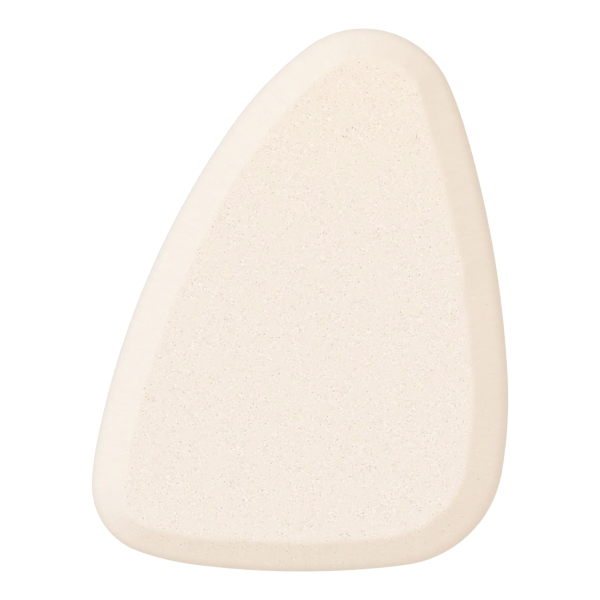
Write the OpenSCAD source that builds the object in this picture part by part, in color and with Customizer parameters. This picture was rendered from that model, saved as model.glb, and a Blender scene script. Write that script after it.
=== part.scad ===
// Makeup sponge: one flat pad of fine foam with a rounded-triangle outline and ground edges.
// It lies on its underside, which is flat like its top, with its nose towards +Y.
// The origin is on that underside, below the middle of the pad's length and width.

/* [Size] */
// Length, from the heel to the tip of the nose
sponge_length = 75; // [66:1:84]
// Width, across the two heel corners
sponge_width = 57.5; // [51:0.5:64]
// Thickness, from one flat face to the other
sponge_thick = 10; // [8:0.5:12]

/* [Outline] */
// Radius of the nose, the round corner at the top
nose_r = 12.9; // [10:0.1:16]
// Radius of the left corner of the heel
left_corner_r = 9.7; // [7.5:0.1:12]
// Radius of the right corner of the heel
right_corner_r = 15.5; // [12:0.1:18]

/* [Ground edges] */
// Width of the slope along the right side and round the right corner
right_slope_w = 5.5; // [4.5:0.1:6.5]
// Width of the slope round the nose
nose_slope_w = 4.5; // [3.8:0.1:5.6]
// Width of the slope along the left side
left_slope_w = 5; // [4:0.1:5.8]
// Width of the slope round the left corner and along the heel
heel_slope_w = 4.3; // [3.6:0.1:5.2]
// Radius of the rim, where the two slopes meet at half the thickness
rim_r = 3.2; // [2:0.1:3.4]
// Radius of the soft ridge between a slope and its flat face
ridge_r = 1.2; // [0.5:0.1:1.6]

/* [Hidden] */

foam_colour = "linen";
half_thick = sponge_thick / 2;

// Most degrees that the outline turns between two points, and most length between them
fine_angle = 5;
fine_chord = 3.4;

// Degrees that the outline turns through on each side, and on each corner: over the shoulder that
// leads into the corner, the corner itself, and the shoulder that leads out of it
right_side_angle = 13.5;
nose_angles = [7.5, 103.5, 17.5];
left_side_angle = 24;
left_corner_angles = [8, 73.5, 12];
heel_angle = 13.5;
right_corner_angles = [2.5, 71.5, 13];
// A shoulder's radius, as a multiple of its corner's
shoulder_share = 3.8;

// The outline is a ring of arcs, each tangent to the next: [radius, degrees of turn]. It runs
// anticlockwise from the foot of the right side, where it faces first_angle degrees from +X. The
// three sides have no radius here, because theirs are worked out to close the ring.
first_angle = 3;
function corner(r, angles) = [
    [r * shoulder_share, angles[0]],
    [r, angles[1]],
    [r * shoulder_share, angles[2]],
];
ring = [
    [undef, right_side_angle],
    each corner(nose_r, nose_angles),
    [undef, left_side_angle],
    each corner(left_corner_r, left_corner_angles),
    [undef, heel_angle],
    each corner(right_corner_r, right_corner_angles),
];
sides = [for (i = [0:len(ring) - 1]) if (ring[i][0] == undef) i];

// Ways that the outline faces, in degrees from +X, and how wide the slope is there
stop_angles = [-55, 5, 35, 115, 145, 190, 215, 262, 305];
stop_widths = [
    right_slope_w, right_slope_w, nose_slope_w, nose_slope_w, left_slope_w,
    left_slope_w, heel_slope_w, heel_slope_w, right_slope_w,
];
// Elsewhere the slope's width is the mean of what it would be this many degrees to either side
blend_angles = [-15, -10, -5, 0, 5, 10, 15];

function way(a) = [cos(a), sin(a)];
function sum(v, i = 0) = i == len(v) - 1 ? v[i] : v[i] + sum(v, i + 1);
function low(v) = [for (k = [0, 1]) min([for (p = v) p[k]])];
function high(v) = [for (k = [0, 1]) max([for (p = v) p[k]])];

// The way that arc i faces at its start
function facing(i) = i == 0 ? first_angle : facing(i - 1) + ring[i - 1][1];

// How high the right-hand half of the outline, from its lowest point to its highest, has climbed
// where it faces a degrees from +X, and how far arc i goes along X, Y and that climb, both at a
// radius of one
function climb(a) = a < 90 ? sin(a) : a < 270 ? 1 : 2 + sin(a);
function reach(i) = let (a = facing(i), b = facing(i + 1)) [each way(b) - way(a), climb(b) - climb(a)];

// The three sides go the rest of the way round, and bring the climb up to the pad's length
known_reach = sum([for (i = [0:len(ring) - 1]) if (ring[i][0] != undef) ring[i][0] * reach(i)]);
rest = [0, 0, sponge_length] - known_reach;
side_reach = [for (i = sides) reach(i)];
function side_r(k) =
    let (others = cross(side_reach[(k + 1) % 3], side_reach[(k + 2) % 3]))
    (rest * others) / (side_reach[k] * others);

function radius(i) = let (k = search(i, sides)) len(k) == 0 ? ring[i][0] : side_r(k[0]);
function start(i) = i == 0 ? [0, 0] : start(i - 1) + radius(i - 1) * (way(facing(i)) - way(facing(i - 1)));
function steps(i) = ceil(max(ring[i][1] / fine_angle, radius(i) * ring[i][1] * PI / 180 / fine_chord));

// The ring's points, as [x, y, degrees it faces], which are then stretched to the pad's size
ring_points = [
    for (i = [0:len(ring) - 1], j = [0:steps(i) - 1])
        let (a = facing(i) + ring[i][1] * j / steps(i))
        [each start(i) + radius(i) * (way(a) - way(facing(i))), a]
];
ring_middle = (low(ring_points) + high(ring_points)) / 2;
ring_size = high(ring_points) - low(ring_points);
stretch = [sponge_width / ring_size.x, sponge_length / ring_size.y];

function edge_point(p) = [(p.x - ring_middle.x) * stretch.x, (p.y - ring_middle.y) * stretch.y];
function edge_way(p) = let (n = [cos(p.z) / stretch.x, sin(p.z) / stretch.y]) n / norm(n);

// Width of the slope where the outline faces a degrees from +X
slope_stops = [for (i = [0:len(stop_angles) - 1]) [stop_angles[i], stop_widths[i]]];
function stop_w(a) = lookup((a - stop_angles[0] + 360) % 360 + stop_angles[0], slope_stops);
function slope_w(a) = sum([for (d = blend_angles) stop_w(a + d)]) / len(blend_angles);

// Degrees that a slope of width w falls away from its face, tangent to the ridge and to the rim
function fall(w) =
    let (across = w - rim_r, down = half_thick - ridge_r)
    atan2(down, across) + asin((ridge_r - rim_r) / norm([across, down]));

// The edge in section, from the upper face to the lower, as [distance in, height over the rim]
function upper_edge(w) =
    let (a = fall(w))
    [
        for (b = [0, a / 2, a]) [w - ridge_r * sin(b), half_thick - ridge_r * (1 - cos(b))],
        for (b = [a, (a + 90) / 2]) [rim_r * (1 - sin(b)), rim_r * cos(b)],
    ];
function section(w) =
    let (upper = upper_edge(w))
    [each upper, [0, 0], for (k = [len(upper) - 1:-1:0]) [upper[k][0], -upper[k][1]]];

module sponge() {
    around = len(ring_points);
    across = len(section(nose_slope_w));
    // Each column of points runs down one section of the edge
    points = [
        for (p = ring_points)
            let (at = edge_point(p), out = edge_way(p))
            for (s = section(slope_w(p.z))) [each at - s[0] * out, half_thick + s[1]]
    ];
    edge = [
        for (i = [0:around - 1], k = [0:across - 2])
            let (a = i * across + k, b = (i + 1) % around * across + k)
            each [[a, b, b + 1], [a, b + 1, a + 1]]
    ];
    upper_face = [for (i = [1:around - 2]) [0, i + 1, i] * across];
    lower_face = [for (i = [1:around - 2]) [for (c = [0, i, i + 1]) c * across + across - 1]];
    color(foam_colour) polyhedron(points, [each edge, each upper_face, each lower_face]);
}

sponge();
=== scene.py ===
"""A flat foam makeup sponge with a rounded-triangle outline, and a small studio to show it in."""
import math

import bpy
import numpy as np
from bpy.props import FloatProperty, FloatVectorProperty, IntProperty, PointerProperty
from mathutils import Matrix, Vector, noise
from mathutils.geometry import delaunay_2d_cdt
from mathutils.kdtree import KDTree


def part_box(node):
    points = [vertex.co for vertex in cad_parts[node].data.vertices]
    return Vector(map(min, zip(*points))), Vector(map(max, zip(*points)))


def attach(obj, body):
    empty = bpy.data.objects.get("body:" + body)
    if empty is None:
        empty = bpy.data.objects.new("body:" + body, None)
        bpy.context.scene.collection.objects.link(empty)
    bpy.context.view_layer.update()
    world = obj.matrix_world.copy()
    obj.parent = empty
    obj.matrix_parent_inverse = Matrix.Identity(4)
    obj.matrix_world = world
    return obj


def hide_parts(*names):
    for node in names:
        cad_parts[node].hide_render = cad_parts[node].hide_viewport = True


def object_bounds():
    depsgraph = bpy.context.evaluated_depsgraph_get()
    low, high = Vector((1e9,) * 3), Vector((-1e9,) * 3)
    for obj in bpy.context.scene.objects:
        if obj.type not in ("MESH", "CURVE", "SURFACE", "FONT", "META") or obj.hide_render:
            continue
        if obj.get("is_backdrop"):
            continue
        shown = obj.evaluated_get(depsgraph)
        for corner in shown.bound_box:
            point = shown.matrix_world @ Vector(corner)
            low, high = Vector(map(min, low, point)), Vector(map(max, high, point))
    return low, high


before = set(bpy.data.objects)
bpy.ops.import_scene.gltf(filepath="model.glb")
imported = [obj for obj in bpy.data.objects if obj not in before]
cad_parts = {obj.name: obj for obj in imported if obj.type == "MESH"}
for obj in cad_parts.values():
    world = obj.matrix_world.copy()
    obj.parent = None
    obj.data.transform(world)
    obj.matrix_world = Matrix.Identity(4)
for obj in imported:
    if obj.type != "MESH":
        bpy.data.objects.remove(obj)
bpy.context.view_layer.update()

bl_info = {
    "name": "Foam Makeup Sponge",
    "version": (1, 0, 0),
    "blender": (4, 5, 0),
    "location": "View3D > Sidebar > Sponge",
    "description": "Builds a flat foam makeup sponge with ground edges, and a studio to show it in",
    "category": "Add Mesh",
}

PAD_LOW, PAD_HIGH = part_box("sponge")
PAD_SIZE = PAD_HIGH - PAD_LOW
MM = 0.001

# Degrees that the outline turns through on each side, and on each corner: over the shoulder that
# leads into the corner, the corner itself, and the shoulder that leads out of it
RIGHT_SIDE_TURN = 13.5
NOSE_TURNS = (7.5, 103.5, 17.5)
LEFT_SIDE_TURN = 24
LEFT_CORNER_TURNS = (8, 73.5, 12)
HEEL_TURN = 13.5
RIGHT_CORNER_TURNS = (2.5, 71.5, 13)
# A shoulder's radius, as a multiple of its corner's
SHOULDER_SHARE = 3.8
# The way that the outline faces at the foot of the right side, in degrees from +X
FIRST_FACING = 3

# Ways that the outline faces, in degrees from +X, at which the slope's width is set, and how open the
# foam's pores are at the top of the slope there, as shares of how open they are on the flat face
SLOPE_STOPS = (-55, 5, 35, 115, 145, 190, 215, 262, 305)
SLOPE_OPEN_SHARES = (0.6, 0.18, 0.1, 0.05, 0.03, 0.02, 0.35, 0.9, 0.6)
# Elsewhere the width is the mean of what it would be this many degrees to either side
SLOPE_BLEND = (-15, -10, -5, 0, 5, 10, 15)

# The power by which the openness falls from the top of the slope to the rim
OPEN_POWER = 1.2

# Smoothness, step from octave to octave and number of octaves of the noise that the ridge strays by
RIDGE_NOISE = (1, 2, 2)

# Attributes of the mesh's points. PORE is how deep a pore goes there, as a share of the deepest, or,
# below zero, how high a raised grain or a pore's lip stands, as a share of the highest grain. GROUND is
# the place on the unrolled edge: how far along the rim, wound into a circle, and how far down from the
# ridge. OPEN is how open the foam's pores are, from 0 to 1.
# Where PORE is above zero the colour also takes painted shade, and where it is below zero painted
# highlight
PORE = "pore"
GROUND = "ground"
OPEN = "open"
# The numbers that the relief's node tree is given, by name
RELIEF_INPUTS = (
    "Pore Depth", "Grain Height", "Waviness", "Wave Size",
    "Streak Height", "Streak Width", "Ridge Width", "Seed",
)
# What GROUND is multiplied by for the streaks, so that their pattern is drawn out down the slope
STREAK_STRETCH = (1, 1, 0.18)

# The line where the slope starts to look ground is ragged: how far it strays, over what distance and
# with how much detail
RAGGED_REACH = 0.9 * MM
RAGGED_SIZE = 1.2 * MM
RAGGED_DETAIL = 2
# How far down from the ridge the foam starts to look ground, and how far down it is wholly ground
GROUND_START = -0.3 * MM
GROUND_END = 0.7 * MM
# How much of the mottling and the specks the grinding takes away where no pores are open
GROUND_SMOOTHING = 0.8

# Shares of the specks' places that hold a dark speck, painted shade of a fine pore, and a light one, a
# painted highlight, and how far the light specks' pattern is moved, in metres, so that the two don't fall
# together
SHADE_SPECK_SHARE = 0.64
HIGHLIGHT_SPECK_SHARE = 0.68
HIGHLIGHT_SPECK_SHIFT = 0.31
# A speck's faint halo: its radius in speck radii, and its strength as a share of the speck's
HALO_RADII = 2.4
HALO_SHARE = 0.08
# The power that makes strong specks rare
SPECK_POWER = 2
# Detail of the noise that the clumps, the patches and the streaks follow
CLUMP_DETAIL = 2
PATCH_DETAIL = 2
STREAK_DETAIL = 2
# The least strength of the mottling and the specks between two clumps
CLUMP_LEAST = 0.1
# Height of the noise at which a patch has its full hue
PATCH_EDGE = 0.2
# What painted light, cooler at the heel and warmer at the nose, does to the foam's colour at the heel and
# at the nose, the power by which it grows from one to the other, and how much of it grinding takes away
# on the slopes
HEEL_PAINTED_LIGHT = (0.998, 1, 1.007)
NOSE_PAINTED_LIGHT = (1.015, 1, 0.96)
PAINTED_LIGHT_POWER = 3
PAINTED_LIGHT_GROUND_OFF = 0.5
# Heights, in millimetres, that the bump gives to the mottling, the specks and the streaks
MOTTLE_RISE = 0.02
SPECK_RISE = 0.03
STREAK_RISE = 0.01


def length(name, description, default):
    """A property that holds a length in metres."""
    return FloatProperty(
        name=name, description=description, default=default, min=0, unit="LENGTH", precision=5
    )


def angle(name, description, degrees):
    """A property that holds an angle, which the panel shows in degrees."""
    return FloatProperty(
        name=name, description=description, default=math.radians(degrees), subtype="ANGLE"
    )


def share(name, description, default):
    """A property that holds a share, or a plain number."""
    return FloatProperty(name=name, description=description, default=default, precision=3)


def power(name, description, default):
    """A property that holds a lamp's power in watts."""
    return FloatProperty(name=name, description=description, default=default, min=0, unit="POWER")


def colour(name, description, default):
    """A property that holds a colour, as linear red, green and blue."""
    return FloatVectorProperty(
        name=name, description=description, default=default, min=0, max=1, size=3, subtype="COLOR"
    )


class SPONGE_PG_shape(bpy.types.PropertyGroup):
    """The pad's sizes."""

    length: length("Length", "From the heel to the tip of the nose", PAD_SIZE.y)
    width: length("Width", "Across the two heel corners", PAD_SIZE.x)
    thickness: length("Thickness", "From one flat face to the other", PAD_SIZE.z)
    nose_radius: length("Nose radius", "Radius of the round corner at the top", 12.9 * MM)
    left_radius: length("Left corner radius", "Radius of the heel's left corner", 9.7 * MM)
    right_radius: length("Right corner radius", "Radius of the heel's right corner", 15.5 * MM)
    right_slope: length("Right slope", "Width of the ground slope along the right side", 5.5 * MM)
    nose_slope: length("Nose slope", "Width of the ground slope round the nose", 4.5 * MM)
    left_slope: length("Left slope", "Width of the ground slope along the left side", 5 * MM)
    heel_slope: length("Heel slope", "Width of the ground slope along the heel", 4.3 * MM)
    rim_radius: length("Rim radius", "Radius of the rim, where the two slopes meet", 3.2 * MM)
    ridge_radius: length("Ridge radius", "Radius between a slope and its flat face", 1.2 * MM)


class SPONGE_PG_relief(bpy.types.PropertyGroup):
    """The foam's pores and unevenness, as real relief."""

    step: length("Step", "Distance between the mesh's points where there are no pores", 0.5 * MM)
    pore_spacing: length("Pore spacing", "Side of the squares that pores are drawn in", 1 * MM)
    pore_radius: length("Pore radius", "Radius of a middling pore's lip", 0.11 * MM)
    pore_depth: length("Pore depth", "Depth of the deepest pores", 0.16 * MM)
    grain_height: length("Grain height", "Height of the highest grains beside the pores", 0.04 * MM)
    cluster_size: length("Cluster size", "Distance over which pores come thick and then thin", 1.3 * MM)
    waviness: length("Waviness", "Height of the flat faces' slow unevenness", 0.03 * MM)
    wave_size: length("Wave size", "Distance over which the flat faces rise and fall", 9 * MM)
    lip_share: share("Lip share", "Faint ring round a pore or a grain, as a share of its middle", 0.04)
    ridge_wander: length("Ridge wander", "How far the ridge of the slope strays in and out", 0.3 * MM)
    wander_size: length("Wander size", "Distance along the ridge over which it strays", 4.5 * MM)
    streak_height: length("Streak height", "Height of the streaks that grinding left", 0.012 * MM)
    streak_width: length("Streak width", "Distance from one grinding streak to the next", 0.5 * MM)
    seed: IntProperty(name="Seed", description="Start of the random draws for the pores", default=7)


class SPONGE_PG_finish(bpy.types.PropertyGroup):
    """The foam's colours, mottling and specks, with painted shade, painted highlights and painted warm
    light.
    """

    # The plain foam's colour lies between these two; painted shade in pores and dark specks moves it
    # towards the shaded foam, and painted highlights on grains, lips and light specks move it towards the
    # light foam
    light: colour("Light foam", "Colour of the foam where it is most open to light", (1, 0.918, 0.854))
    shade: colour("Shaded foam", "Colour of the foam inside its pores", (0.58, 0.485, 0.345))
    pink: colour("Pinkish patches", "What the pinkish patches do to the colour", (1, 0.981, 0.998))
    yellow: colour("Yellowish patches", "What the yellowish patches do to the colour", (0.983, 1, 0.972))
    patch_size: length("Patch size", "Distance over which the foam's hue changes", 1.3 * MM)
    ground_tint: colour("Ground tint", "What grinding the slopes does to their colour", (1, 0.993, 0.98))
    tone: share("Tone", "Where the plain foam lies between its shaded and its light colour", 0.61)
    ground_lift: share("Ground lift", "How much lighter the ground slopes are than the faces", 0.033)
    # Painted shade: how much the colour darkens towards the shaded foam in the deepest pores
    painted_pore_shade: share("Pore shade", "How much darker the deepest pores are", 0.95)
    # Painted highlight: how much the colour lightens towards the light foam on the highest grains and on
    # the pores' lips
    painted_grain_highlight: share("Grain light", "How much lighter the highest grains are", 2.2)
    mottle: share("Mottle", "How much the tone of the plain foam changes", 0.27)
    mottle_size: length("Mottle size", "Distance over which the tone changes", 0.22 * MM)
    # The dark specks are painted shade of fine pores, and the light specks are painted highlights
    painted_shade_specks: share("Dark specks", "How much darker the strongest dark specks are", 1.2)
    painted_highlight_specks: share("Light specks", "How much lighter the strongest light specks are", 1.1)
    speck_spacing: length("Speck spacing", "Distance between the places for small specks", 0.4 * MM)
    speck_radius: length("Speck radius", "Radius of a small speck", 0.11 * MM)
    clumping: share("Clumping", "How unevenly the mottling and the specks are spread", 6)
    clump_size: length("Clump size", "Distance over which they come strong and then weak", 1.2 * MM)
    streak_tone: share("Streak tone", "How much the tone changes from streak to streak", 0.1)
    roughness: share("Roughness", "Roughness of the foam", 0.92)
    shine: share("Shine", "How strongly the foam's surface throws light back", 0.2)
    fuzz: share("Fuzz", "How strongly the foam's surface catches light that grazes it", 0.05)


class SPONGE_PG_studio(bpy.types.PropertyGroup):
    """The floor, the lights and the camera."""

    view_width: length("View width", "Width that the picture takes in at the rim's height", 82.87 * MM)
    camera_height: length("Camera height", "Height of the camera over the pad's rim", 1)
    floor_size: length("Floor size", "Side of the square floor", 3)
    floor_tone: share("Floor tone", "Paleness of the floor in the light that it throws back", 0.65)
    floor_white: share("Floor white", "What the camera sees on the floor, where 1 is white", 1.08)
    floor_cover: share("Floor cover", "How much of that hides the floor's own tone and shadow", 0.88)
    dome_colour: colour("Dome colour", "Colour of the light from all round", (1.0, 0.942, 0.881))
    dome_strength: share("Dome strength", "Strength of the light from all round", 1.0)
    key_colour: colour("Key light colour", "Colour of the lamp at the upper left", (0.396, 0.661, 1.0))
    key_power: power("Key light power", "Power of the lamp at the upper left", 33.7)
    key_size: length("Key light size", "Side of the square lamp at the upper left", 1.25)
    key_distance: length("Key light distance", "How far the lamp at the upper left is from the pad", 3)
    key_facing: angle("Key light direction", "Where the lamp at the upper left is, from +X", 144)
    key_rise: angle("Key light rise", "How high the lamp at the upper left is", 45)


class Value:
    """A number, colour or vector in a node tree; sums on a number add their Math nodes."""

    def __init__(self, nodes, socket):
        self.nodes = nodes
        self.socket = socket

    def other(self, output):
        """Another output of the same node."""
        return Value(self.nodes, self.socket.node.outputs[output])

    def math(self, operation, *values):
        """What a Math node makes of this number."""
        return self.nodes.math(operation, self, *values)

    def __add__(self, value):
        return self.math("ADD", value)

    def __radd__(self, value):
        return self.nodes.math("ADD", value, self)

    def __sub__(self, value):
        return self.math("SUBTRACT", value)

    def __rsub__(self, value):
        return self.nodes.math("SUBTRACT", value, self)

    def __mul__(self, value):
        return self.math("MULTIPLY", value)

    def __rmul__(self, value):
        return self.nodes.math("MULTIPLY", value, self)

    def __truediv__(self, value):
        return self.math("DIVIDE", value)

    def __rtruediv__(self, value):
        return self.nodes.math("DIVIDE", value, self)


class Nodes:
    """A node tree, and the one method that adds any node to it."""

    def __init__(self, tree):
        self.tree = tree
        tree.nodes.clear()

    def add(self, kind, settings=None, inputs=None, output=0):
        """Adds a node with its settings and then its inputs, and returns one of its outputs."""
        node = self.tree.nodes.new(kind)
        for name, value in (settings or {}).items():
            setattr(node, name, value)
        for key, value in (inputs or {}).items():
            if isinstance(value, Value):
                self.tree.links.new(value.socket, node.inputs[key])
            else:
                node.inputs[key].default_value = value
        return Value(self, node.outputs[output]) if node.outputs else None

    def math(self, operation, *values):
        """A number that a Math node works out."""
        return self.add("ShaderNodeMath", {"operation": operation}, dict(enumerate(values)))

    def vector(self, operation, *values):
        """A vector that a Vector Math node works out."""
        return self.add("ShaderNodeVectorMath", {"operation": operation}, dict(enumerate(values)))

    def noise(self, vector, size, detail=1, seed=None):
        """Noise centred on zero, whose lumps are about size apart, and which a seed moves."""
        settings = {}
        inputs = {"Vector": vector, "Scale": 1 / size, "Detail": detail}
        if seed is not None:
            settings["noise_dimensions"] = "4D"
            inputs["W"] = seed
        return self.add("ShaderNodeTexNoise", settings, inputs) - 0.5

    def smooth(self, value, start, end):
        """0 up to start and 1 from end on, with a smooth step between."""
        settings = {"interpolation_type": "SMOOTHSTEP"}
        inputs = {"Value": value, "From Min": start, "From Max": end}
        return self.add("ShaderNodeMapRange", settings, inputs)

    def mix(self, factor, a, b):
        """A colour that goes from a to b as factor goes from 0 to 1."""
        settings = {"data_type": "RGBA", "clamp_factor": True}
        return self.add("ShaderNodeMix", settings, {0: factor, 6: a, 7: b}, 2)

    def tint(self, factor, a, b):
        """A colour that goes from a to a times b as factor goes from 0 to 1."""
        settings = {"data_type": "RGBA", "blend_type": "MULTIPLY"}
        return self.add("ShaderNodeMix", settings, {0: factor, 6: a, 7: b}, 2)


def opaque(rgb):
    """A colour with its fourth number."""
    return (*rgb, 1)


def way(degrees):
    """The direction that lies so many degrees from +X."""
    return np.stack([np.cos(np.radians(degrees)), np.sin(np.radians(degrees))], axis=-1)


def climb(degrees):
    """How high the right-hand half of the outline has climbed where it faces so many degrees."""
    if degrees < 90:
        return math.sin(math.radians(degrees))
    if degrees < 270:
        return 1
    return 2 + math.sin(math.radians(degrees))


def corner(radius, turns):
    """The three arcs of a corner, as radius and degrees of turn."""
    shoulder = radius * SHOULDER_SHARE
    return [(shoulder, turns[0]), (radius, turns[1]), (shoulder, turns[2])]


def ring_arcs(shape):
    """Radius, degrees of turn and first facing of the outline's arcs. The sides' radii close the ring."""
    arcs = [
        (None, RIGHT_SIDE_TURN),
        *corner(shape.nose_radius, NOSE_TURNS),
        (None, LEFT_SIDE_TURN),
        *corner(shape.left_radius, LEFT_CORNER_TURNS),
        (None, HEEL_TURN),
        *corner(shape.right_radius, RIGHT_CORNER_TURNS),
    ]
    turns = [turn for radius, turn in arcs]
    facing = FIRST_FACING + np.cumsum([0] + turns)
    # How far each arc goes along X, Y and the climb of the right-hand half, at a radius of one
    reach = np.array([
        [*(way(end) - way(start)), climb(end) - climb(start)] for start, end in zip(facing, facing[1:])
    ])
    sides = [i for i, arc in enumerate(arcs) if arc[0] is None]
    radii = np.array([arc[0] or 0 for arc in arcs])
    rest = np.array([0, 0, shape.length]) - radii @ reach
    radii[sides] = np.linalg.solve(reach[sides].T, rest)
    return radii, turns, facing[:-1]


class Outline:
    """The pad's plan: where its rim runs, the way it faces there and how wide its slope is."""

    # Distance from one sample of the rim to the next
    SAMPLE = 0.1 * MM
    # The least that a step along the rim shrinks to, far inside a bend
    LEAST_SHRINK = 0.3

    def __init__(self, shape, relief, side):
        self.shape = shape
        # The arcs of the ring, then moved to the pad's middle and stretched to its size
        points, facing = [], []
        start = np.zeros(2)
        for radius, turn, first in zip(*ring_arcs(shape)):
            count = math.ceil(radius * math.radians(turn) / self.SAMPLE)
            angles = first + turn * np.arange(count) / count
            points.append(start + radius * (way(angles) - way(first)))
            facing.append(angles)
            start = start + radius * (way(first + turn) - way(first))
        points = np.concatenate(points)
        self.facing = np.concatenate(facing)
        low, high = points.min(0), points.max(0)
        stretch = np.array([shape.width, shape.length]) / (high - low)
        self.rim = (points - (low + high) / 2) * stretch
        out = way(self.facing) / stretch
        self.out = out / np.linalg.norm(out, axis=1, keepdims=True)
        # How far along the rim each sample is, and how sharply the rim bends there
        chords = np.linalg.norm(np.roll(self.rim, -1, axis=0) - self.rim, axis=1)
        self.around = chords.sum()
        self.along = np.cumsum(chords) - chords
        turned = np.radians((np.roll(self.facing, -1) - self.facing) % 360)
        self.bend = turned / chords
        self.width = self.slope_width() + self.wander(relief, side)
        self.fall = self.fall_angle(self.width)
        self.tree = KDTree(len(self.rim))
        for i, (x, y) in enumerate(self.rim.tolist()):
            self.tree.insert((x, y, 0), i)
        self.tree.balance()

    def slope_width(self):
        """The slope's width all round, from the widths set at the stops."""
        s = self.shape
        widths = [
            s.right_slope, s.right_slope, s.nose_slope, s.nose_slope, s.left_slope,
            s.left_slope, s.heel_slope, s.heel_slope, s.right_slope,
        ]
        return np.mean([self.by_facing(self.facing + d, widths) for d in SLOPE_BLEND], axis=0)

    def wander(self, relief, side):
        """How far the ridge strays inwards, all round one side of the pad."""
        circle = self.around / math.tau * way(np.degrees(self.along * math.tau / self.around))
        # The two sides' circles lie far apart in the noise, so that their ridges stray apart
        apart = np.full(len(circle), side * self.around)
        places = np.column_stack([circle, apart]) / relief.wander_size
        strays = [noise.fractal(Vector(place), *RIDGE_NOISE) for place in places.tolist()]
        return relief.ridge_wander * np.array(strays)

    @staticmethod
    def by_facing(facing, values):
        """What values, set at the stops, come to at other facings."""
        first = SLOPE_STOPS[0]
        return np.interp((facing - first) % 360 + first, SLOPE_STOPS, values)

    def fall_angle(self, width):
        """The angle at which a slope of that width falls, tangent to its ridge and to the rim."""
        across = width - self.shape.rim_radius
        down = self.shape.thickness / 2 - self.shape.ridge_radius
        gap = self.shape.ridge_radius - self.shape.rim_radius
        return np.arctan2(down, across) + np.arcsin(gap / np.hypot(across, down))

    def at(self, along, *tables):
        """What each table, with a value or a row of values a sample, comes to along the rim."""
        found = []
        for table in tables:
            columns = table.reshape(len(table), -1).T
            values = [np.interp(along, self.along, c, period=self.around) for c in columns]
            found.append(np.stack(values, axis=-1) if table.ndim == 2 else values[0])
        return found

    def lengths(self, width, fall):
        """Lengths of the ridge's arc, of the straight slope and of the rim's arc, down one section."""
        s = self.shape
        ridge = s.ridge_radius * fall
        drop = s.thickness / 2 - s.ridge_radius * (1 - np.cos(fall)) - s.rim_radius * np.cos(fall)
        return ridge, drop / np.sin(fall), s.rim_radius * (math.pi / 2 - fall)

    def plan(self, along, across):
        """The unrolled edge: a point so far along the rim, and so far down the edge from the ridge."""
        rim, out, width = self.at(along, self.rim, self.out, self.width)
        return rim + (across - width)[:, None] * out

    def unroll(self, plan):
        """How far along the rim, and how far down the edge from the ridge, points of the plan lie."""
        near = np.array([self.tree.find((x, y, 0))[1] for x, y in plan.tolist()])
        gap = plan - self.rim[near]
        out = self.out[near]
        forward = gap[:, 1] * out[:, 0] - gap[:, 0] * out[:, 1]
        depth = (gap * out).sum(1)
        shrink = np.maximum(1 + self.bend[near] * depth, self.LEAST_SHRINK)
        along = self.along[near] + forward / shrink
        rim, out, width = self.at(along, self.rim, self.out, self.width)
        return along, ((plan - rim) * out).sum(1) + width

    def openness(self, along, across):
        """How open the pores are, from 1 on the flat face to 0 at the rim."""
        facing, width, fall = self.at(along, self.facing, self.width, self.fall)
        down = np.clip(across / sum(self.lengths(width, fall)), 0, 1)
        shares = self.by_facing(facing, SLOPE_OPEN_SHARES)
        return np.where(across < 0, 1, shares * (1 - down) ** OPEN_POWER)

    def lift(self, plan):
        """Places of the plan's points on the upper half, over its middle, and their ground places."""
        s = self.shape
        along, across = self.unroll(plan)
        rim, out, width, fall = self.at(along, self.rim, self.out, self.width, self.fall)
        ridge, slope, edge = self.lengths(width, fall)
        down = np.clip(across, 0, ridge + slope + edge)
        past_slope = np.maximum(down - ridge - slope, 0)
        lean = np.where(down < ridge, down / s.ridge_radius, fall + past_slope / s.rim_radius)
        straight = np.clip(down - ridge, 0, slope)
        over = np.minimum(lean, fall)
        inward = width - s.ridge_radius * np.sin(over) - straight * np.cos(fall)
        height = s.thickness / 2 - s.ridge_radius * (1 - np.cos(over)) - straight * np.sin(fall)
        on_rim = down > ridge + slope
        inward = np.where(on_rim, s.rim_radius * (1 - np.sin(lean)), inward)
        height = np.where(on_rim, s.rim_radius * np.cos(lean), height)
        flat = (across <= 0)[:, None]
        place = np.where(flat, plan, rim - inward[:, None] * out)
        radius = self.around / math.tau
        ground = np.column_stack([radius * way(np.degrees(along / radius)), across])
        return np.column_stack([place, height]), ground, self.openness(along, across)


class Spread:
    """Points kept apart from each other, found through the squares of a grid."""

    def __init__(self, square):
        self.square = square
        self.cells = {}

    def cell(self, x, y):
        """The square that a point lies in."""
        return math.floor(x / self.square), math.floor(y / self.square)

    def clear(self, x, y, radius, gap):
        """Whether a disc there stays a gap away from every disc so far."""
        i, j = self.cell(x, y)
        for a in (i - 1, i, i + 1):
            for b in (j - 1, j, j + 1):
                for u, v, r in self.cells.get((a, b), ()):
                    if math.hypot(u - x, v - y) < r + radius + gap:
                        return False
        return True

    def put(self, x, y, radius):
        """Takes up a disc there."""
        self.cells.setdefault(self.cell(x, y), []).append((x, y, radius))


def write_attribute(mesh, name, values):
    """Writes a number or a vector for each of the mesh's points."""
    kind, field = ("FLOAT_VECTOR", "vector") if values.ndim == 2 else ("FLOAT", "value")
    attribute = mesh.attributes.new(name, kind, "POINT")
    attribute.data.foreach_set(field, values.astype(np.float32).ravel())


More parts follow.
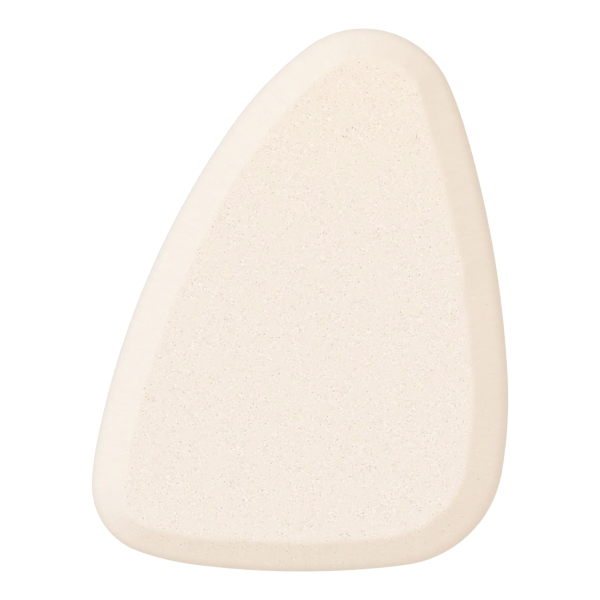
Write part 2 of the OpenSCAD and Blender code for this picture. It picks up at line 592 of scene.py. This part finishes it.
class FoamMesh:
    """The pad's closed mesh, with a middle point and a ring of points for every pore and grain."""

    # Least number of rows of points down the ridge's arc, the slope and the rim's arc
    LEAST_ROWS = 3
    # How far the points of the flat face's grid stray, in steps
    GRID_SWAY = 0.15

    # The most that the unrolled edge reaches beyond the pad's box
    MARGIN = 3 * MM
    # Side of the squares that near pores are looked for in, and the gap between pores, in pore radii
    SQUARE = 6
    PORE_GAP = 2
    # Chance that a place gets its pore, and how much the clusters add to it or take from it
    PLACE_SHARE = 0.85
    CLUSTER_SHARE = 0.1
    # Spread of the pores' radii, and the least and the greatest one, in pore radii
    RADIUS_SPREAD = 0.24
    RADIUS_LIMITS = (0.62, 1.5)
    # Depth of the shallowest pores, as a share of the deepest, and the two numbers of the beta draw
    # that makes deep pores rare
    LEAST_DEPTH = 0.04
    DEPTH_DRAW = (1, 2.7)
    # Chance that a pore has a raised grain beside it, the least and the greatest radius of a grain as
    # shares of its pore's, and the distance of their middles as a multiple of both radii together
    GRAIN_SHARE = 0.7
    GRAIN_RADII = (0.6, 0.85)
    GRAIN_DISTANCE = 1.05
    # Height of the lowest grains, as a share of the highest, and the power that makes high grains rare
    LEAST_HEIGHT = 0.15
    HEIGHT_POWER = 1.6
    # Chance that a pore is followed by the next one of a chain, how far on that one lies, in pore
    # radii, and how much a chain turns there, in radians
    CHAIN_SHARE = 0.35
    CHAIN_STRIDE = (4, 5.4)
    CHAIN_TURN = 0.9
    # How far the outermost pores stay from the rim, in steps
    RIM_GAP = 1.5

    # Points in the ring round a pore or a grain, how far out they lie, in its radii, and how much the
    # ring's height changes from point to point
    RING = 5
    RING_WOBBLE = (0.8, 1.2)
    LIP_CHANGE = (0.5, 1.5)
    # How far the points between the pores stay from the rings, in steps
    RING_GAP = 0.3
    # Distance in millimetres below which two points would count as one
    TOLERANCE = 1e-7

    def __init__(self, shape, relief):
        self.shape = shape
        self.relief = relief
        self.rng = np.random.default_rng(relief.seed)

    def edge_rows(self, outline):
        """Rows of points round the edge, as plan points, with the rim's own row first."""
        step = self.relief.step
        count = round(outline.around / step)
        ridge, slope, edge = outline.lengths(outline.width, outline.fall)
        stops = [np.zeros_like(ridge), ridge, ridge + slope, ridge + slope + edge]
        rows = []
        for start, end in zip(stops, stops[1:]):
            steps = max(self.LEAST_ROWS, math.ceil((end - start).mean() / step))
            rows += [start + (end - start) * i / steps for i in range(steps)]
        rows.append(stops[-1])
        plans = []
        for i, row in enumerate(reversed(rows)):
            along = (np.arange(count) + i % 2 / 2) / count * outline.around
            plans.append(outline.plan(along, *outline.at(along, row)))
        return plans

    def face_grid(self, outline):
        """Points of a loose triangular grid over the flat face."""
        step = self.relief.step
        half_x, half_y = self.shape.width / 2, self.shape.length / 2
        row_step = step * math.sqrt(3) / 2
        rows = np.arange(-half_y, half_y, row_step)
        columns = np.arange(-half_x, half_x, step)
        grid = np.array([(x + j % 2 * step / 2, y) for j, y in enumerate(rows) for x in columns])
        grid += self.rng.uniform(-self.GRID_SWAY, self.GRID_SWAY, grid.shape) * step
        across = outline.unroll(grid)[1]
        return grid[across < -step / 2]

    def pores(self, outline, side):
        """Plan place, radius and PORE value of every pore and grain on one side of the pad."""
        relief, rng = self.relief, self.rng
        half_x, half_y = np.array([self.shape.width, self.shape.length]) / 2 + self.MARGIN
        square = relief.pore_spacing
        rows = np.arange(-half_y, half_y, square)
        corners = [(x, y) for x in np.arange(-half_x, half_x, square) for y in rows]
        starts = corners + rng.uniform(0, square, (len(corners), 2))
        rng.shuffle(starts)
        keep = rng.random(len(starts)) < outline.openness(*outline.unroll(starts))
        spread = Spread(self.SQUARE * relief.pore_radius)
        found = []
        for x, y in starts[keep].tolist():
            thick = noise.noise(Vector((x, y, side * relief.wave_size)) / relief.cluster_size)
            if rng.random() > self.PLACE_SHARE + self.CLUSTER_SHARE * thick:
                continue
            heading = rng.uniform(0, math.tau)
            while True:
                found += self.pore_and_grain(spread, x, y)
                if rng.random() > self.CHAIN_SHARE:
                    break
                heading += rng.normal(0, self.CHAIN_TURN)
                stride = relief.pore_radius * rng.uniform(*self.CHAIN_STRIDE)
                x, y = x + stride * math.cos(heading), y + stride * math.sin(heading)
        found = np.array(found)
        along, across = outline.unroll(found[:, :2])
        width, fall = outline.at(along, outline.width, outline.fall)
        inside = across < sum(outline.lengths(width, fall)) - self.RIM_GAP * relief.step
        return found[inside]

    def pore_and_grain(self, spread, x, y):
        """A pore there, and perhaps a grain beside it, as far as there is room for them."""
        rng, middling = self.rng, self.relief.pore_radius
        least, greatest = self.RADIUS_LIMITS
        radius = middling * min(max(rng.lognormal(0, self.RADIUS_SPREAD), least), greatest)
        if not spread.clear(x, y, radius, middling * self.PORE_GAP):
            return []
        spread.put(x, y, radius)
        depth = self.LEAST_DEPTH + (1 - self.LEAST_DEPTH) * rng.beta(*self.DEPTH_DRAW)
        found = [(x, y, radius, depth)]
        if rng.random() < self.GRAIN_SHARE:
            small = radius * rng.uniform(*self.GRAIN_RADII)
            beside = rng.uniform(0, math.tau)
            u = x + (radius + small) * self.GRAIN_DISTANCE * math.cos(beside)
            v = y + (radius + small) * self.GRAIN_DISTANCE * math.sin(beside)
            if spread.clear(u, v, small, 0):
                spread.put(u, v, small)
                height = self.LEAST_HEIGHT + (1 - self.LEAST_HEIGHT) * rng.random() ** self.HEIGHT_POWER
                found.append((u, v, small, -height))
        return found

    def half(self, side):
        """Points, triangles and attributes of the half that faces up or down, and how many rim points."""
        outline = Outline(self.shape, self.relief, side)
        rim, *rows = self.edge_rows(outline)
        pores = self.pores(outline, side)
        centres, radii, depths = pores[:, :2], pores[:, 2], pores[:, 3]
        loose = np.concatenate([*rows, self.face_grid(outline)])
        near = KDTree(len(centres))
        for i, (x, y) in enumerate(centres.tolist()):
            near.insert((x, y, 0), i)
        near.balance()
        hits = [near.find((x, y, 0)) for x, y in loose.tolist()]
        gap = self.RING_GAP * self.relief.step
        clear = np.array([hit[2] > radii[hit[1]] + gap for hit in hits])
        turn = self.rng.uniform(0, 360, len(centres))
        spokes = turn[:, None] + np.arange(self.RING) * 360 / self.RING
        wobble = self.rng.uniform(*self.RING_WOBBLE, spokes.shape)
        mouths = centres[:, None] + way(spokes) * (radii[:, None] * wobble)[..., None]
        plan = np.concatenate([rim, centres, mouths.reshape(-1, 2), loose[clear]])
        change = self.rng.uniform(*self.LIP_CHANGE, spokes.shape)
        lips = -self.relief.lip_share * depths[:, None] * change
        depth = np.concatenate([np.zeros(len(rim)), depths, lips.ravel(), np.zeros(clear.sum())])
        points = [Vector(p) for p in (plan / MM).tolist()]
        ring = [(i, (i + 1) % len(rim)) for i in range(len(rim))]
        made, _, faces, *_ = delaunay_2d_cdt(points, ring, [], 0, self.TOLERANCE, False)
        if len(made) != len(points):
            raise RuntimeError("two points of the foam mesh fell together")
        place, ground, openness = outline.lift(plan)
        place[:, 2] *= side
        faces = np.array(faces)
        # Triangles of rim points alone lie outside the rim, where its unrolled line is hollow
        faces = faces[(faces >= len(rim)).any(axis=1)]
        a, b, c = (plan[faces[:, k]] for k in range(3))
        left = np.cross(b - a, c - a) > 0
        turned = np.where((left == (side > 0))[:, None], faces, faces[:, ::-1])
        return place, turned, {PORE: depth, OPEN: openness, GROUND: ground}, len(rim)

    def build(self, name):
        """The whole pad as a mesh, the two halves sharing the rim's points."""
        upper, upper_faces, upper_values, shared = self.half(1)
        lower, lower_faces, lower_values, _ = self.half(-1)
        shifted = np.where(lower_faces < shared, lower_faces, lower_faces + len(upper) - shared)
        points = np.concatenate([upper, lower[shared:]])
        points[:, 2] += self.shape.thickness / 2
        mesh = bpy.data.meshes.new(name)
        mesh.from_pydata(points.tolist(), [], np.concatenate([upper_faces, shifted]).tolist())
        for attribute, values in upper_values.items():
            write_attribute(mesh, attribute, np.concatenate([values, lower_values[attribute][shared:]]))
        mesh.validate()
        return mesh


def relief_tree():
    """The node tree that gives the plain pad its pores, grains, slow waves and grinding streaks."""
    tree = bpy.data.node_groups.new("Foam relief", "GeometryNodeTree")
    nodes = Nodes(tree)
    sockets = tree.interface
    sockets.new_socket("Geometry", in_out="INPUT", socket_type="NodeSocketGeometry")
    sockets.new_socket("Geometry", in_out="OUTPUT", socket_type="NodeSocketGeometry")
    for name in RELIEF_INPUTS:
        sockets.new_socket(name, in_out="INPUT", socket_type="NodeSocketFloat")
    sockets.new_socket("Foam", in_out="INPUT", socket_type="NodeSocketMaterial")
    given = nodes.add("NodeGroupInput", output="Geometry")
    seed = given.other("Seed")

    position = nodes.add("GeometryNodeInputPosition")
    pore = nodes.add("GeometryNodeInputNamedAttribute", {"data_type": "FLOAT"}, {"Name": PORE})
    ground = nodes.add("GeometryNodeInputNamedAttribute", {"data_type": "FLOAT_VECTOR"}, {"Name": GROUND})
    across = nodes.add("ShaderNodeSeparateXYZ", {}, {0: ground}, "Z")
    on_slope = nodes.smooth(across, 0, given.other("Ridge Width"))
    waves = nodes.noise(position, given.other("Wave Size"), seed=seed)
    stretched = nodes.vector("MULTIPLY", ground, STREAK_STRETCH)
    streaks = nodes.noise(stretched, given.other("Streak Width"), seed=seed)
    rise = (
        waves * given.other("Waviness")
        + streaks * on_slope * given.other("Streak Height")
        - pore.math("MAXIMUM", 0) * given.other("Pore Depth")
        - pore.math("MINIMUM", 0) * given.other("Grain Height")
    )

    normal = nodes.add("GeometryNodeInputNormal")
    offset = nodes.add("ShaderNodeVectorMath", {"operation": "SCALE"}, {"Vector": normal, "Scale": rise})
    moved = nodes.add("GeometryNodeSetPosition", {}, {"Geometry": given, "Offset": offset})
    smooth = nodes.add("GeometryNodeSetShadeSmooth", {}, {"Geometry": moved, "Shade Smooth": True})
    whole = nodes.add("GeometryNodeRealizeInstances", {}, {"Geometry": smooth})
    foam = given.other("Foam")
    dressed = nodes.add("GeometryNodeSetMaterial", {}, {"Geometry": whole, "Material": foam})
    nodes.add("NodeGroupOutput", {}, {"Geometry": dressed})
    return tree


def spots(nodes, position, spacing, radius, chosen, shift):
    """Round spots in a share of a loose grid's places, 1 at most in the middle and below 0 round it."""
    moved = nodes.vector("ADD", position, (shift, shift, shift))
    distance = nodes.add("ShaderNodeTexVoronoi", {}, {"Vector": moved, "Scale": 1 / spacing})
    draw = nodes.add("ShaderNodeSeparateColor", {}, {0: distance.other("Color")}, "Red")
    strength = (1 - draw / chosen).math("MAXIMUM", 0).math("POWER", SPECK_POWER)
    middle = (1 - distance * (spacing / radius)).math("MAXIMUM", 0)
    halo = (1 - distance * (spacing / radius / HALO_RADII)).math("MAXIMUM", 0)
    return (middle - halo * HALO_SHARE) * strength


def foam_material(finish, relief, shape):
    """Matt fine foam: pored and mottled on the flat faces, ground smooth on the slopes, with painted
    shade in its pores, painted highlights on its grains and specks, and painted warm light towards the
    nose.
    """
    material = bpy.data.materials.new("Foam")
    material.use_nodes = True
    nodes = Nodes(material.node_tree)
    position = nodes.add("ShaderNodeTexCoord", output="Object")
    pore = nodes.add("ShaderNodeAttribute", {"attribute_name": PORE}, output="Fac")
    openness = nodes.add("ShaderNodeAttribute", {"attribute_name": OPEN}, output="Fac")
    ground = nodes.add("ShaderNodeAttribute", {"attribute_name": GROUND}, output="Vector")

    # How far the foam is ground, and how strong that and the clumps leave the mottling and the specks
    across = nodes.add("ShaderNodeSeparateXYZ", {}, {0: ground}, "Z")
    ragged = across + nodes.noise(position, RAGGED_SIZE, RAGGED_DETAIL) * RAGGED_REACH
    smooth_ground = nodes.smooth(ragged, GROUND_START, GROUND_END)
    clumps = 1 + nodes.noise(position, finish.clump_size, CLUMP_DETAIL) * finish.clumping
    cut = 1 - smooth_ground * (1 - openness) * GROUND_SMOOTHING
    coarse = cut * clumps.math("MAXIMUM", CLUMP_LEAST)

    mottle = nodes.noise(position, finish.mottle_size, 0)
    # The mottling is the foam's own tone; the dark specks are painted shade of fine pores, and the light
    # specks painted highlights
    dark = spots(nodes, position, finish.speck_spacing, finish.speck_radius, SHADE_SPECK_SHARE, 0)
    light = spots(nodes, position, finish.speck_spacing, finish.speck_radius, HIGHLIGHT_SPECK_SHARE, HIGHLIGHT_SPECK_SHIFT)
    mottle_and_painted_specks = mottle * finish.mottle - dark * finish.painted_shade_specks + light * finish.painted_highlight_specks
    stretched = nodes.vector("MULTIPLY", ground, STREAK_STRETCH)
    streaks = nodes.noise(stretched, relief.streak_width, STREAK_DETAIL) * smooth_ground
    # The tone takes painted shade in the pores, and painted highlights on the raised grains and the
    # pores' lips
    tone = (
        finish.tone
        + smooth_ground * finish.ground_lift
        + mottle_and_painted_specks * coarse
        - pore.math("MAXIMUM", 0) * finish.painted_pore_shade
        - pore.math("MINIMUM", 0) * finish.painted_grain_highlight
        + streaks * finish.streak_tone
    )
    plain = nodes.mix(tone, opaque(finish.shade), opaque(finish.light))

    # Small patches of two hues, painted warm light that grows towards the nose, and what grinding does
    patches = nodes.noise(position, finish.patch_size, PATCH_DETAIL)
    yellowness = nodes.smooth(patches, -PATCH_EDGE, PATCH_EDGE)
    patched = nodes.tint(1, plain, nodes.mix(yellowness, opaque(finish.pink), opaque(finish.yellow)))
    from_heel = nodes.add("ShaderNodeSeparateXYZ", {}, {0: position}, "Y") / shape.length + 0.5
    painted_light_drift = from_heel.math("POWER", PAINTED_LIGHT_POWER) * (1 - smooth_ground * PAINTED_LIGHT_GROUND_OFF)
    with_painted_light = nodes.tint(1, patched, nodes.mix(painted_light_drift, opaque(HEEL_PAINTED_LIGHT), opaque(NOSE_PAINTED_LIGHT)))
    base = nodes.tint(smooth_ground, with_painted_light, opaque(finish.ground_tint))

    height = (mottle * MOTTLE_RISE + (light - dark) * SPECK_RISE) * coarse + streaks * STREAK_RISE
    normal = nodes.add("ShaderNodeBump", {}, {"Strength": 1, "Distance": MM, "Height": height}, "Normal")
    foam = nodes.add("ShaderNodeBsdfPrincipled", {}, {
        "Base Color": base,
        "Roughness": finish.roughness,
        "Specular IOR Level": finish.shine,
        "Sheen Weight": finish.fuzz,
        "Normal": normal,
    })
    nodes.add("ShaderNodeOutputMaterial", {}, {"Surface": foam})
    return material


def white_to_camera(nodes, shader, kind, strength, amount):
    """Covers an amount of the shader with white light, for the camera and in gloss and glass."""
    path = nodes.add("ShaderNodeLightPath", output="Is Camera Ray")
    glossy, through = path.other("Is Glossy Ray"), path.other("Is Transmission Ray")
    seen = path.math("MAXIMUM", glossy).math("MAXIMUM", through) * amount
    white = nodes.add(kind, {}, {"Color": opaque((1, 1, 1)), "Strength": strength})
    return nodes.add("ShaderNodeMixShader", {}, {0: seen, 1: shader, 2: white})


def floor_material(studio):
    """Pale floor that the camera sees as white, apart from a soft shadow."""
    material = bpy.data.materials.new("Floor")
    material.use_nodes = True
    nodes = Nodes(material.node_tree)
    tone = studio.floor_tone
    matt = nodes.add("ShaderNodeBsdfDiffuse", {}, {"Color": opaque((tone, tone, tone))})
    shown = white_to_camera(nodes, matt, "ShaderNodeEmission", studio.floor_white, studio.floor_cover)
    nodes.add("ShaderNodeOutputMaterial", {}, {"Surface": shown})
    return material


class SPONGE_OT_foam_pad(bpy.types.Operator):
    """Build the foam pad, with its pores, its straying ridge and its finish"""

    bl_idname = "sponge.foam_pad"
    bl_label = "Foam Pad"

    def execute(self, context):
        shape, relief = context.scene.sponge_shape, context.scene.sponge_relief
        mesh = FoamMesh(shape, relief).build("foam_pad")
        pad = bpy.data.objects.new("foam_pad", mesh)
        context.collection.objects.link(pad)
        given = {
            "Pore Depth": relief.pore_depth,
            "Grain Height": relief.grain_height,
            "Waviness": relief.waviness,
            "Wave Size": relief.wave_size,
            "Streak Height": relief.streak_height,
            "Streak Width": relief.streak_width,
            "Ridge Width": shape.ridge_radius,
            "Seed": float(relief.seed),
            "Foam": foam_material(context.scene.sponge_finish, relief, shape),
        }
        modifier = pad.modifiers.new("Foam relief", "NODES")
        modifier.node_group = relief_tree()
        for item in modifier.node_group.interface.items_tree:
            if item.name in given:
                modifier[item.identifier] = given[item.name]
        depsgraph = context.evaluated_depsgraph_get()
        plain = bpy.data.meshes.new_from_object(
            pad.evaluated_get(depsgraph), preserve_all_data_layers=True, depsgraph=depsgraph
        )
        pad.modifiers.clear()
        pad.data = plain
        plain.name = "foam_pad"
        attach(pad, "root")
        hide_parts("sponge")
        return {"FINISHED"}


class SPONGE_OT_studio(bpy.types.Operator):
    """Set up the floor, the light from all round, the lamp and the camera that looks straight down"""

    bl_idname = "sponge.studio"
    bl_label = "Studio"

    def execute(self, context):
        studio = context.scene.sponge_studio
        self.add_floor(context, studio)
        self.add_dome(context, studio)
        self.add_lamp(context, studio)
        self.add_camera(context, studio)
        context.scene.view_settings.view_transform = "Standard"
        return {"FINISHED"}

    def add_floor(self, context, studio):
        """A square floor at the height of the pad's lowest point."""
        half = studio.floor_size / 2
        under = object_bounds()[0][2]
        mesh = bpy.data.meshes.new("floor")
        corners = [(x * half, y * half, under) for x, y in ((-1, -1), (1, -1), (1, 1), (-1, 1))]
        mesh.from_pydata(corners, [], [(0, 1, 2, 3)])
        mesh.materials.append(floor_material(studio))
        floor = bpy.data.objects.new("floor", mesh)
        context.collection.objects.link(floor)
        floor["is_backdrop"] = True

    def add_dome(self, context, studio):
        """Light from all round, which the camera sees as white."""
        world = bpy.data.worlds.new("Studio")
        world.use_nodes = True
        nodes = Nodes(world.node_tree)
        light = {"Color": opaque(studio.dome_colour), "Strength": studio.dome_strength}
        dome = nodes.add("ShaderNodeBackground", {}, light)
        shown = white_to_camera(nodes, dome, "ShaderNodeBackground", 1, 1)
        nodes.add("ShaderNodeOutputWorld", {}, {"Surface": shown})
        context.scene.world = world

    def add_lamp(self, context, studio):
        """A soft square lamp at the upper left, which points at the pad."""
        data = bpy.data.lights.new("key_light", "AREA")
        data.size = studio.key_size
        data.color = studio.key_colour
        data.energy = studio.key_power
        lamp = bpy.data.objects.new("key_light", data)
        level = studio.key_distance * math.cos(studio.key_rise)
        height = studio.key_distance * math.sin(studio.key_rise)
        lamp.location = (*(level * way(math.degrees(studio.key_facing))), height)
        towards = Vector((0, 0, PAD_HIGH.z)) - lamp.location
        lamp.rotation_euler = towards.to_track_quat("-Z", "Y").to_euler()
        context.collection.objects.link(lamp)

    def add_camera(self, context, studio):
        """A camera over the middle of the pad, which looks straight down."""
        data = bpy.data.cameras.new("camera")
        data.lens = data.sensor_width * studio.camera_height / studio.view_width
        camera = bpy.data.objects.new("camera", data)
        camera.location = (0, 0, PAD_SIZE.z / 2 + studio.camera_height)
        context.collection.objects.link(camera)
        context.scene.camera = camera


class SPONGE_PT_panel(bpy.types.Panel):
    """Builds the sponge and its studio from the sizes and colours shown"""

    bl_idname = "SPONGE_PT_panel"
    bl_label = "Foam Makeup Sponge"
    bl_space_type = "VIEW_3D"
    bl_region_type = "UI"
    bl_category = "Sponge"

    def draw(self, context):
        for group in GROUPS:
            settings = getattr(context.scene, group)
            box = self.layout.box()
            for name in settings.__annotations__:
                box.prop(settings, name)
        self.layout.operator("sponge.foam_pad")
        self.layout.operator("sponge.studio")


GROUPS = {
    "sponge_shape": SPONGE_PG_shape,
    "sponge_relief": SPONGE_PG_relief,
    "sponge_finish": SPONGE_PG_finish,
    "sponge_studio": SPONGE_PG_studio,
}
CLASSES = (*GROUPS.values(), SPONGE_OT_foam_pad, SPONGE_OT_studio, SPONGE_PT_panel)


def register():
    for cls in CLASSES:
        bpy.utils.register_class(cls)
    for name, group in GROUPS.items():
        setattr(bpy.types.Scene, name, PointerProperty(type=group))


def unregister():
    for name in GROUPS:
        delattr(bpy.types.Scene, name)
    for cls in reversed(CLASSES):
        bpy.utils.unregister_class(cls)


def main():
    """Builds the pad and its studio."""
    register()
    bpy.ops.sponge.foam_pad()
    bpy.ops.sponge.studio()


if __name__ == "__main__":
    main()
